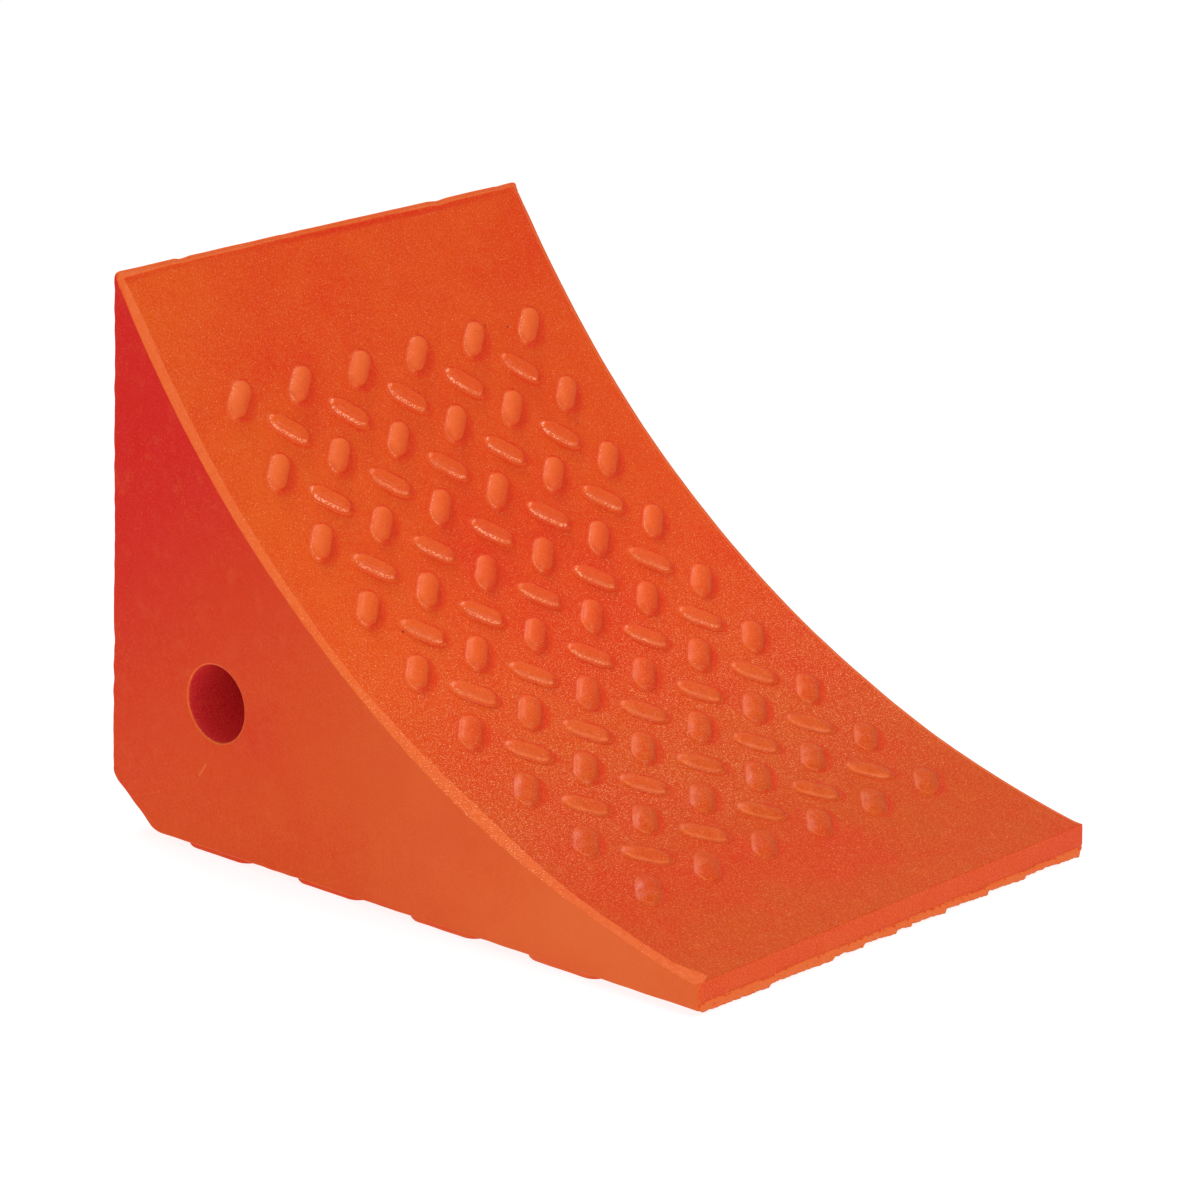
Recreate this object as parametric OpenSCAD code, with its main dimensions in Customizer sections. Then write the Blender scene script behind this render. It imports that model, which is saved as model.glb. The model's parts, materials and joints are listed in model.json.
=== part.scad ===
// Solid cast wheel chock: a wedge with a concave tyre face, grip lugs, a rope hole and a treaded base.
// +X runs from the back to the toe, +Z is up, and the middle of the width is Y = 0.
// The origin is on the ground, under the middle of the chock.

/* [Wedge] */
// Length from the back, at its rearmost corner, to the toe face
chock_length = 269; // [265:1:320]
// Width across the base
chock_width = 200; // [185:1:260]
// Height of the top edge above the base
chock_height = 195; // [175:1:220]
// Height of the flat toe face
toe_height = 9.5; // [6:0.5:14]
// Radius of the concave face that meets the tyre
face_radius = 385; // [340:5:480]
// How far the top of the back leans towards the toe
back_lean = 6.5; // [0:0.5:14]
// Inward lean of each side in degrees, which lets the casting leave its mould
side_draft = 0.6; // [0:0.1:1.5]
// Width of the flat land along the top edge
top_land = 1.7; // [1:0.1:4]

/* [Trimmed edges] */
// Width of the bevel down each side of the tyre face
bevel_width = 3.5; // [2:0.5:6]
// Depth of that bevel at the side
bevel_depth = 1.5; // [0.5:0.5:3]
// Length of the back chamfer along the base
chamfer_run = 21; // [10:0.5:24]
// Height of the back chamfer
chamfer_rise = 16; // [8:0.5:20]
// How far the rough lip reaches back from the toe face
lip_reach = 6; // [3:0.5:9]
// How far the rough lip hangs below the base
lip_drop = 1.3; // [0.5:0.1:1.5]

/* [Rope hole] */
// Diameter of the hole through both sides
hole_d = 27; // [18:0.5:34]
// Distance of the hole from the rearmost corner
hole_x = 52.5; // [45:0.5:75]
// Height of the hole above the base
hole_z = 53; // [45:0.5:65]

/* [Face lugs] */
// Spacing of the lugs, both across the face and down it
lug_pitch = 28.6; // [27:0.1:30]
// Distance from the top edge down the face to the first row
lug_start = 53.5; // [40:0.5:54]
// Length of a lug
lug_length = 17; // [14:0.5:19]
// Width of a lug
lug_width = 8.2; // [6:0.1:10]
// Height of a lug above the face
lug_height = 2.2; // [1.5:0.1:3]

/* [Base tread] */
// Length of a pad, from back to toe
pad_length = 36; // [24:1:38]
// Width of a pad
pad_width = 18; // [15:1:20]
// Radius of a pad's corners
pad_corner = 7; // [2:0.5:7]
// Height of a pad, which lifts the base off the ground
pad_height = 2.2; // [1.5:0.1:3]
// Distance from the rearmost corner to the middle of the first pad
pad_start = 50.5; // [46:0.5:53]
// Spacing of the pads along a row
pad_pitch = 52.8; // [50:0.1:54]
// Gap between the outermost pads and the sides
pad_inset = 1; // [0.5:0.5:3]

/* [Hidden] */
$fn = 72;
// Steps round the large cylinder of the tyre face
face_steps = 720;
// More than any cut needs, so that each cutter passes clean through
clear = 1;

rising_rows = 9;
rising_columns = 6;
falling_rows = 8;
falling_columns = 5;
pad_rows = 7;
pads_in_row = 4;

body_colour = [0.87, 0.31, 0.13];
lug_colour = [0.93, 0.42, 0.18];
pad_colour = [0.78, 0.25, 0.12];
lip_colour = [0.90, 0.50, 0.30];

// The pads lift the base off the ground, and the origin is midway between the back and the toe
base_z = pad_height;
top_z = base_z + chock_height;
back_x = -chock_length / 2;
toe_x = chock_length / 2;

// The tyre face is part of a cylinder that runs across the chock.
// In the side view it passes through the front of the top land and the top of the toe face.
face_top = [back_x + back_lean + top_land, top_z];
face_toe = [toe_x, base_z + toe_height];
face_chord = face_toe - face_top;
chord_length = norm(face_chord);
axis_distance = sqrt(pow(face_radius, 2) - pow(chord_length / 2, 2));
chord_normal = [-face_chord[1], face_chord[0]] / chord_length;
face_axis = (face_top + face_toe) / 2 + axis_distance * chord_normal;
top_angle = atan2(face_top[1] - face_axis[1], face_top[0] - face_axis[0]);

// A lug is the part of a capsule that stands out of the face
lug_radius = (pow(lug_width / 2, 2) + pow(lug_height, 2)) / (2 * lug_height);
lug_straight = lug_length - lug_width;
lug_turn = 45;

pad_row_pitch = (chock_width - pad_width - 2 * pad_inset) / (pad_rows - 1);

// Puts a shape drawn in the side view on the wedge, as wide as it is told
module across(width) {
    rotate([90, 0, 0])
        linear_extrude(height = width, center = true)
            children();
}

// Turns a shape about the axis of the tyre face
module about_face_axis() {
    translate([face_axis[0], 0, face_axis[1]])
        rotate([90, 0, 0])
            rotate_extrude($fn = face_steps)
                children();
}

// Moves a shape to the face, at a distance down from the top edge, with its Z along the outward normal
module on_face(distance) {
    angle = top_angle + distance / face_radius * 180 / PI;
    x = face_axis[0] + face_radius * cos(angle);
    z = face_axis[1] + face_radius * sin(angle);
    translate([x, 0, z])
        rotate([0, -90 - angle, 0])
            children();
}

// Each side as a frame: Z up the leaning side, Y out of it, with Y = 0 on the side itself
module on_each_side() {
    for (flip = [0, 1])
        mirror([0, flip, 0])
            translate([0, chock_width / 2, base_z])
                rotate([side_draft, 0, 0])
                    children();
}

module wedge_outline() {
    polygon([
        [back_x + chamfer_run, base_z],
        [toe_x, base_z],
        [toe_x, top_z],
        [back_x + back_lean, top_z],
        [back_x, base_z + chamfer_rise]
    ]);
}

// Everything in front of the concave face
module tyre_space() {
    about_face_axis()
        translate([0, -chock_width / 2 - clear])
            square([face_radius, chock_width + 2 * clear]);
}

// What the bevel takes off one side: a cone about the axis of the face, a bevel's width in at the face
module bevel_space() {
    slope = bevel_depth / bevel_width;
    inner = 3 * bevel_width;
    translate([face_axis[0], 0, face_axis[1] - base_z])
        rotate([-90, 0, 0])
            rotate_extrude($fn = face_steps)
                polygon([
                    [0, -inner],
                    [face_radius + slope * (bevel_width - inner), -inner],
                    [face_radius + slope * (bevel_width + clear), clear],
                    [0, clear]
                ]);
}

// Everything outside one leaning side
module side_space() {
    margin = chock_height / 10;
    translate([back_x - margin, 0, -margin])
        cube([chock_length + 2 * margin, chock_width, chock_height + 2 * margin]);
}

module rope_hole() {
    translate([back_x + hole_x, 0, base_z + hole_z])
        rotate([90, 0, 0])
            cylinder(h = chock_width + 2 * clear, d = hole_d, center = true);
}

module chock_body() {
    color(body_colour)
        difference() {
            across(chock_width) wedge_outline();
            tyre_space();
            on_each_side() bevel_space();
            on_each_side() side_space();
            rope_hole();
        }
}

// Rough strip left under the toe where the casting was trimmed
module toe_lip() {
    slant = lip_drop / 2;
    color(lip_colour)
        across(chock_width - 2 * pad_inset)
            polygon([
                [toe_x - lip_reach, base_z],
                [toe_x - lip_reach + slant, base_z - lip_drop],
                [toe_x - slant, base_z - lip_drop],
                [toe_x, base_z]
            ]);
}

// Half of a capsule's outline, to be turned about its own length
module half_capsule() {
    intersection() {
        union() {
            translate([0, -lug_straight / 2])
                square([lug_radius, lug_straight]);
            for (end = [-1, 1])
                translate([0, end * lug_straight / 2])
                    circle(r = lug_radius);
        }
        translate([0, -lug_length])
            square([2 * lug_radius, 2 * lug_length]);
    }
}

module lug_capsule(turn) {
    rotate([0, 0, turn])
        translate([0, 0, lug_height - lug_radius])
            rotate([0, 90, 0])
                rotate_extrude()
                    half_capsule();
}

// The side view of the space over one row of lugs, whose lower edge follows the face in short steps
module space_over_row() {
    reach = lug_length / 2;
    polygon(concat(
        [for (x = [-reach:reach / 4:reach]) [x, face_radius - sqrt(pow(face_radius, 2) - pow(x, 2))]],
        [[reach, 2 * lug_height], [-reach, 2 * lug_height]]
    ));
}

// A row of lugs, cut off where they meet the face
module lug_row(distance, columns, turn) {
    color(lug_colour)
        on_face(distance)
            intersection() {
                for (k = [0:columns - 1])
                    translate([0, (k - (columns - 1) / 2) * lug_pitch, 0])
                        lug_capsule(turn);
                across(chock_width) space_over_row();
            }
}

// Lugs that rise towards +Y
module rising_lug_row(i) {
    lug_row(lug_start + (i - 1) * lug_pitch, rising_columns, -lug_turn);
}

// Lugs that fall towards +Y, between the rising ones
module falling_lug_row(i) {
    lug_row(lug_start + (i - 0.5) * lug_pitch, falling_columns, lug_turn);
}

module pad_outline() {
    straight_x = pad_length - 2 * pad_corner;
    straight_y = pad_width - 2 * pad_corner;
    square([straight_x, pad_width], center = true);
    square([pad_length, straight_y], center = true);
    for (end = [-1, 1], flank = [-1, 1])
        translate([end * straight_x / 2, flank * straight_y / 2])
            circle(r = pad_corner);
}

// A row of pads; every second row is moved half a pitch towards the toe
module base_pad_row(i) {
    sideways = (i - (pad_rows + 1) / 2) * pad_row_pitch;
    stagger = i % 2 == 1 ? 0 : 0.5;
    first = back_x + pad_start;
    color(pad_colour)
        for (k = [0:pads_in_row - 1])
            translate([first + (k + stagger) * pad_pitch, sideways, 0])
                linear_extrude(height = pad_height)
                    pad_outline();
}

chock_body();
toe_lip();
for (i = [1:rising_rows])
    rising_lug_row(i);
for (i = [1:falling_rows])
    falling_lug_row(i);
for (i = [1:pad_rows])
    base_pad_row(i);
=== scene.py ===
import json
import math

import bmesh
import bpy
from mathutils import Matrix, Vector, geometry, noise


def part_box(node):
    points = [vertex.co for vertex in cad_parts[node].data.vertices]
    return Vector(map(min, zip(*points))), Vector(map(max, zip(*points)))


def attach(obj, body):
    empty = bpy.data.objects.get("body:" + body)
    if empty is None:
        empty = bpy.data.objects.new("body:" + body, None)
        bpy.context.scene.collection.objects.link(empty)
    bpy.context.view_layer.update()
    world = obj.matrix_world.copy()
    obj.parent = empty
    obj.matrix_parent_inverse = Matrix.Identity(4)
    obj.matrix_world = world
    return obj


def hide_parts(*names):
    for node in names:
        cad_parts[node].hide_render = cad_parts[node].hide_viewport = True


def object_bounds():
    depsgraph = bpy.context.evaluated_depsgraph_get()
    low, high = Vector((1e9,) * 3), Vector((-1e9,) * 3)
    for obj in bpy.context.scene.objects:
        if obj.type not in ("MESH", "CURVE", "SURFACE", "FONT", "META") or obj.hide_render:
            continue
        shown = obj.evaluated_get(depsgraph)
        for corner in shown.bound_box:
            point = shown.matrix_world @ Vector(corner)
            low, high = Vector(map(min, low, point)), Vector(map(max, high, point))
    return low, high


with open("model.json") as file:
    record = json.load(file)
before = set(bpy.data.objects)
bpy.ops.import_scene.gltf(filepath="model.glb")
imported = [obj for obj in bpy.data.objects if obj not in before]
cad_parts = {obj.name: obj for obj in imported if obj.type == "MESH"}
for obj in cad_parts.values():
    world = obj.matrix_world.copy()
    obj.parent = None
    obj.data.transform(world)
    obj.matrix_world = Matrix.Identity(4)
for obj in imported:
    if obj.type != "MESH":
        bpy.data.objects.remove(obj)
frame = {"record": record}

# A cast urethane wheel chock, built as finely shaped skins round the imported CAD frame.
# Lengths are in metres, and colours are linear.
MM = 0.001

# --------------------------------------------------------------------------------------------------
# Driving dimensions, from the frame where it gives them and otherwise as the part's own values
# --------------------------------------------------------------------------------------------------

cad_low, cad_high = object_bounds()
body_low, body_high = (Vector(corner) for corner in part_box("chock_body"))
hole_mount = next(m for m in frame["record"]["mounts"] if m["name"] == "rope_hole")

BACK_X, TOE_X = body_low.x, body_high.x
BASE_Z, TOP_Z = body_low.z, body_high.z
HALF_WIDTH = body_high.y
HOLE_X, HOLE_Z = hole_mount["pos_m"][0], hole_mount["pos_m"][2]
HOLE_RADIUS = hole_mount["dims"]["r_mm"] * MM

TOE_HEIGHT = 9.5 * MM
FACE_RADIUS = 385 * MM
BACK_LEAN = 6.5 * MM
TOP_LAND = 1.7 * MM
CHAMFER_RUN = 21 * MM
CHAMFER_RISE = 16 * MM
SIDE_DRAFT = math.tan(math.radians(0.6))

LUG_PITCH = 28.6 * MM
LUG_START = 53.5 * MM
LUG_LENGTH = 17 * MM
LUG_WIDTH = 8.2 * MM
LUG_HEIGHT = 2.2 * MM
RISING_ROWS, RISING_COLUMNS = 9, 6
FALLING_ROWS, FALLING_COLUMNS = 8, 5

PAD_LENGTH = 36 * MM
PAD_WIDTH = 18 * MM
PAD_CORNER = 7 * MM
PAD_START = 50.5 * MM
PAD_PITCH = 52.8 * MM
PAD_INSET = 1 * MM
PAD_ROWS, PADS_IN_ROW = 7, 4

# The undersides of the skin stay just off the floor
FLOOR_GAP = 0.02 * MM
# The skin stays a little inside the CAD surface, so that its waviness never leaves the CAD box
SKIN_INSET = 0.15 * MM
# The smooth part of the toe face is set back, and the rough strip under it stands proud of it
TOE_SETBACK = 0.45 * MM


def smoothstep(low, high, value):
    t = min(max((value - low) / (high - low), 0.0), 1.0)
    return t * t * (3 - 2 * t)


def between(stops, value):
    """Smooth interpolation through a few given (position, value) stops."""
    if value <= stops[0][0]:
        return stops[0][1]
    for (p0, v0), (p1, v1) in zip(stops, stops[1:]):
        if value <= p1:
            return v0 + (v1 - v0) * smoothstep(p0, p1, value)
    return stops[-1][1]


def ripple(x, y, z, size, seed=0.0):
    """Gentle noise of about -1 to 1, with bumps of the given size."""
    return 1.6 * noise.noise(Vector((x / size + seed, y / size - seed, z / size + 2 * seed)))


# --------------------------------------------------------------------------------------------------
# The tyre face: part of a cylinder that runs across the chock
# --------------------------------------------------------------------------------------------------

face_top = Vector((BACK_X + BACK_LEAN + TOP_LAND, TOP_Z))
face_toe = Vector((TOE_X, BASE_Z + TOE_HEIGHT))
face_chord = face_toe - face_top
chord_normal = Vector((-face_chord.y, face_chord.x)).normalized()
axis_distance = math.sqrt(FACE_RADIUS ** 2 - (face_chord.length / 2) ** 2)
face_axis = (face_top + face_toe) / 2 + axis_distance * chord_normal
TOP_ANGLE = math.atan2(face_top.y - face_axis.y, face_top.x - face_axis.x)
TOE_ANGLE = math.atan2(face_toe.y - face_axis.y, face_toe.x - face_axis.x)
FACE_LENGTH = (TOE_ANGLE - TOP_ANGLE) * FACE_RADIUS


def face_point(distance, lift=0.0):
    """The side view's point at a distance down the face from the top edge, raised along the normal."""
    angle = TOP_ANGLE + distance / FACE_RADIUS
    reach = FACE_RADIUS - lift
    return Vector((face_axis.x + reach * math.cos(angle), face_axis.y + reach * math.sin(angle)))


def face_waves(distance, y):
    """How the cast face departs from a true cylinder."""
    broad = 0.16 * MM * ripple(distance, y, 0, 42 * MM, 3.1)
    fine = 0.035 * MM * ripple(distance, y, 0, 9 * MM, 7.7)
    return broad + fine


def on_face(distance, y, height):
    """A point of the skin in space, at a height above the cast face."""
    p = face_point(distance, height + face_waves(distance, y) - SKIN_INSET)
    return Vector((p.x, y, p.y))


# --------------------------------------------------------------------------------------------------
# Meshes
# --------------------------------------------------------------------------------------------------

def new_piece(name, shape, material, node):
    """A smooth-shaded closed mesh of (vertices, faces, tones) that rides on the chock for its CAD node."""
    vertices, faces, tones = shape
    mesh = bpy.data.meshes.new(name)
    mesh.from_pydata([tuple(v) for v in vertices], [], faces)
    shell = bmesh.new()
    shell.from_mesh(mesh)
    bmesh.ops.recalc_face_normals(shell, faces=shell.faces)
    shell.to_mesh(mesh)
    shell.free()
    mesh.polygons.foreach_set("use_smooth", [True] * len(mesh.polygons))
    # The tone marks trim and painted light, and below 0 painted shade
    trimmed = mesh.attributes.new("trimmed", "FLOAT", "POINT")
    trimmed.data.foreach_set("value", tones)
    mesh.materials.append(material)
    piece = bpy.data.objects.new(name, mesh)
    bpy.context.scene.collection.objects.link(piece)
    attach(piece, "root")
    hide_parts(node)


OUTLINE_SPACING = 1.6 * MM
TOE_SPACING = 0.35 * MM
# The trimmed top of the face has a finer mesh
TRIM_SPACING = 0.4 * MM
TRIM_REACH = 9 * MM


def side_outline():
    """The side view of the chock as a closed loop of (point, leg, fraction along the leg)."""
    inset_back = BACK_X + 0.15 * MM
    inset_top = TOP_Z - SKIN_INSET
    toe_x = TOE_X - TOE_SETBACK
    # (leg, where it starts, reach of the rounding there)
    corners = [
        ("top", Vector((inset_back + BACK_LEAN, inset_top)), 0.9 * MM),
        ("face", Vector((face_top.x, inset_top)), 0.6 * MM),
        ("toe", Vector((toe_x, face_toe.y)), 0.5 * MM),
        ("base", Vector((toe_x, BASE_Z)), 0.8 * MM),
        ("chamfer", Vector((inset_back + CHAMFER_RUN, BASE_Z)), 3.0 * MM),
        ("back", Vector((inset_back, BASE_Z + CHAMFER_RISE)), 3.5 * MM),
    ]
    corner_steps = 6
    loop = []
    for i, (leg, start, trim) in enumerate(corners):
        end, end_trim = corners[(i + 1) % len(corners)][1:]
        length = FACE_LENGTH if leg == "face" else (end - start).length

        def along(d, leg=leg, start=start, end=end, length=length):
            if leg == "face":
                p = face_point(d)
                return p + (start - face_top) * (1 - d / length) + (end - face_toe) * (d / length)
            return start.lerp(end, d / length)

        step = TOE_SPACING if leg == "toe" else OUTLINE_SPACING
        steps = max(2, round((length - trim - end_trim) / step))
        places = [trim + (length - trim - end_trim) * k / steps for k in range(steps + 1)]
        if leg == "face":
            fine = [trim + TRIM_SPACING * k for k in range(round(TRIM_REACH / TRIM_SPACING))]
            places = fine + [d for d in places if d > fine[-1] + TRIM_SPACING]
        for d in places:
            loop.append([along(d), leg, d / length])
        next_leg, next_start, next_trim = corners[(i + 1) % len(corners)]
        next_end = corners[(i + 2) % len(corners)][1]
        before = along(length - end_trim)
        if next_leg == "face":
            after = face_point(next_trim) + (next_start - face_top)
        else:
            after = next_start + (next_end - next_start).normalized() * next_trim
        for k in range(1, corner_steps):
            t = k / corner_steps
            rounded = before.lerp(next_start, t).lerp(next_start.lerp(after, t), t)
            loop.append([rounded, leg if t < 0.5 else next_leg, 1.0 if t < 0.5 else 0.0])
    return loop


def outward_normals(points):
    """Unit normals of a loop that runs clockwise in the side view."""
    normals = []
    for i, p in enumerate(points):
        step = points[(i + 1) % len(points)] - points[i - 1]
        normals.append(Vector((-step.y, step.x)).normalized())
    return normals


def smoothed(values, points, reach):
    """Each value averaged with its neighbours within a distance along the loop, by a smooth weight."""
    count = len(values)
    lengths = [(points[(i + 1) % count] - points[i]).length for i in range(count)]
    result = []
    for i in range(count):
        total, weight_sum = values[i] * 1.0, 1.0
        for direction in (1, -1):
            distance, j = 0.0, i
            while True:
                distance += lengths[j] if direction == 1 else lengths[j - 1]
                j = (j + direction) % count
                if distance >= reach:
                    break
                weight = 1 - smoothstep(0, reach, distance)
                total = total + values[j] * weight
                weight_sum += weight
        result.append(total / weight_sum)
    return result


# (part of the way from the top edge to the toe, width or depth) of the bevel beside the face, which fans
# out at the toe
BEVEL_WIDTHS = ((0.0, 2.2 * MM), (0.06, 3.2 * MM), (0.3, 3.1 * MM), (0.48, 2.7 * MM), (0.68, 4.5 * MM),
                (0.84, 2.9 * MM), (0.955, 3.3 * MM), (1.0, 6.5 * MM))
BEVEL_DEPTHS = ((0.0, 0.4 * MM), (0.05, 1.4 * MM), (0.48, 1.1 * MM), (0.68, 1.7 * MM), (0.9, 1.2 * MM),
                (1.0, 1.5 * MM))
# The bevel on the far side is smaller
FAR_BEVEL_WIDTH, FAR_BEVEL_DEPTH = 2.2 * MM, 0.7 * MM


def edge_sizes(leg, fraction, p, side):
    """(width, depth, roundness) of the trim on the edge between a leg of the outline and one side."""
    if leg == "face":
        wander = 1 + 0.07 * ripple(p.x, p.y, side, 8 * MM, 1.3)
        wander += 0.04 * ripple(p.x, p.y, side, 3 * MM, 4.1)
        width, depth = between(BEVEL_WIDTHS, fraction) * wander, between(BEVEL_DEPTHS, fraction)
        if side > 0:
            width, depth = min(width, FAR_BEVEL_WIDTH), min(depth, FAR_BEVEL_DEPTH)
        return width, depth, 0.08
    nick = 1 + 0.35 * ripple(p.x, p.y, side, 5 * MM, 6.2)
    if leg == "top":
        return 0.5 * MM, 0.35 * MM, 0.8
    if leg == "back":
        return 0.45 * MM * nick, 0.35 * MM, 0.9
    return 0.7 * MM * nick, 0.6 * MM, 0.9


def half_width(x, z, side):
    """Half the width of the chock where its draughted side passes a point of the side view."""
    waves = 0.13 * MM * ripple(x, side, z, 38 * MM, 2.4) + 0.03 * MM * ripple(x, side, z, 8 * MM, 5.5)
    return HALF_WIDTH - SKIN_INSET - SIDE_DRAFT * (z - BASE_Z) + waves


# Small dips in the top edge: place across the width, depth and the length of the slow side of each
TOP_NOTCHES = ((-69 * MM, 0.55 * MM, 6.5 * MM), (55.5 * MM, 0.5 * MM, 8 * MM),
               (-20 * MM, 0.15 * MM, 9 * MM), (88 * MM, 0.2 * MM, 5 * MM))


def top_dip(y):
    """How far the top edge is worn down at a place across the width."""
    dip = 0.08 * MM * (1 + ripple(0, y, 0, 14 * MM, 9.4))
    for place, depth, length in TOP_NOTCHES:
        away = y - place
        dip += depth * (1 - smoothstep(0, length if away > 0 else 0.35 * length, abs(away)))
    rounding = 2.0 * MM
    edge = HALF_WIDTH - SIDE_DRAFT * (TOP_Z - BASE_Z) - abs(y)
    if edge < rounding:
        short = rounding - max(edge, 0.0)
        dip += rounding - math.sqrt(rounding ** 2 - short ** 2)
    return dip


def top_trim(y):
    """How far down the face the strip of trim along the top edge reaches."""
    wander = 0.25 * MM * ripple(0, y, 0, 22 * MM, 5.9)
    wider_at_near_corner = 0.9 * MM * smoothstep(-60 * MM, -98 * MM, y)
    return 1.5 * MM + wander + wider_at_near_corner


def toe_groove(y):
    """Height over the base of the groove above the rough strip under the toe."""
    return 1.75 * MM - 0.65 * MM * y / HALF_WIDTH + 0.18 * MM * ripple(0, y, 0, 16 * MM, 2.7)


def skin_relief(leg, fraction, p, y):
    """How far a point of the skin stands out along its normal."""
    if leg == "face":
        distance = fraction * FACE_LENGTH
        waves = face_waves(distance, y)
        trimmed_top = -0.55 * MM * max(0.0, 1 - distance / top_trim(y))
        crease = -0.35 * MM * math.exp(-((distance - top_trim(y) - 1.0 * MM) / (1.1 * MM)) ** 2)
        return (waves - SKIN_INSET) * smoothstep(0, 3 * MM, distance) + trimmed_top + crease
    if leg == "back":
        ragged = 0.26 * MM * ripple(p.x, y / 5, p.y, 4.5 * MM, 8.8)
        ragged += 0.12 * MM * ripple(p.x, y / 4, p.y, 13 * MM, 2.2)
        bow = -0.3 * MM * math.sin(math.pi * (1 - fraction)) ** 2
        return (ragged + bow) * smoothstep(0, 0.02, fraction) * smoothstep(0, 0.02, 1 - fraction)
    if leg == "chamfer":
        return 0.22 * MM * ripple(p.x, y / 3, p.y, 6 * MM, 3.9) - 0.1 * MM
    if leg == "base":
        return 0.12 * MM * ripple(p.x, y, p.y, 7 * MM, 4.6) - 0.1 * MM
    if leg == "toe":
        groove = -0.4 * MM * math.exp(-((p.y - BASE_Z - toe_groove(y)) / (0.3 * MM)) ** 2)
        return 0.05 * MM * ripple(p.x, y, p.y, 12 * MM, 6.6) + groove
    return 0.0


def top_tone(leg, fraction, y):
    """How pale the strip of trim along the top edge is, and below 0 how much painted shade reddens the
    crease under it and the face round the lugs.
    """
    if leg != "face":
        return 0.7 if leg == "top" else 0.0
    distance = fraction * FACE_LENGTH
    strip = 1 - smoothstep(-0.3 * MM, 0.3 * MM, distance - top_trim(y))
    fade = 0.55 + 0.25 * ripple(0, y, 0, 45 * MM, 3.7)
    # Painted shade in the crease under the strip, uneven along the edge
    crease = fade * (1 - strip) * (1 - smoothstep(0, 5 * MM, distance - top_trim(y)))
    return 0.8 * strip - max(crease, 0.6 * painted_lug_shade(distance, y))


# Painted shade: the face is redder and darker a little beyond each lug, on the side away from the light
SHADE_DOWN, SHADE_ACROSS, SHADE_MARGIN = 1.6 * MM, 1.8 * MM, 2.5 * MM
# (rows, columns, pitches down to the first row, slant) of the rising and of the falling lugs
LUG_GRIDS = ((RISING_ROWS, RISING_COLUMNS, 0.0, 1), (FALLING_ROWS, FALLING_COLUMNS, 0.5, -1))


def painted_lug_shade(distance, y):
    """How much painted shade there is on the face close round the lugs, from 0 to 1."""
    shade_amount = 0.0
    for rows, columns, first, slant in LUG_GRIDS:
        row = round((distance - SHADE_DOWN - LUG_START) / LUG_PITCH - first)
        column = round((y - SHADE_ACROSS) / LUG_PITCH + (columns - 1) / 2)
        if not (0 <= row < rows and 0 <= column < columns):
            continue
        down = distance - SHADE_DOWN - LUG_START - (row + first) * LUG_PITCH
        across = y - SHADE_ACROSS - (column - (columns - 1) / 2) * LUG_PITCH
        along = (down - slant * across) / math.sqrt(2)
        aside = (down + slant * across) / math.sqrt(2)
        half_length, half_breadth = 0.5 * LUG_LENGTH + SHADE_MARGIN, 0.5 * LUG_WIDTH + SHADE_MARGIN
        reach = math.hypot(along / half_length, aside / half_breadth)
        shade_amount = max(shade_amount, 1 - smoothstep(0.55, 1.15, reach))
    return shade_amount


def edge_profile(width, depth, roundness, steps):
    """(inset from the side, depth below the leg) from the inner line of an edge to the side itself."""
    rows = [(width + 1.4 * MM, 0.0), (width + 0.35 * MM, 0.0)]
    for k in range(steps + 1):
        t = k / steps
        turn = t * math.pi / 2
        inset = width * ((1 - roundness) * (1 - t) + roundness * (1 - math.sin(turn)))
        drop = depth * ((1 - roundness) * t + roundness * (1 - math.cos(turn)))
        rows.append((inset, drop))
    rows.append((0.0, depth + 0.2 * MM))
    return rows


# Steps across the rounding of an edge, rings between the two sides, and points round the rope hole
EDGE_STEPS = 6
RINGS_BETWEEN = 78
HOLE_STEPS = 96
HOLE_RIM = 0.8 * MM
# How pale a trimmed edge is beside the face, and elsewhere
FACE_EDGE_PALENESS, OTHER_EDGE_PALENESS = 0.66, 0.35
# How far below the top edge its dips still sink the skin
DIP_REACH = 14 * MM


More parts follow.
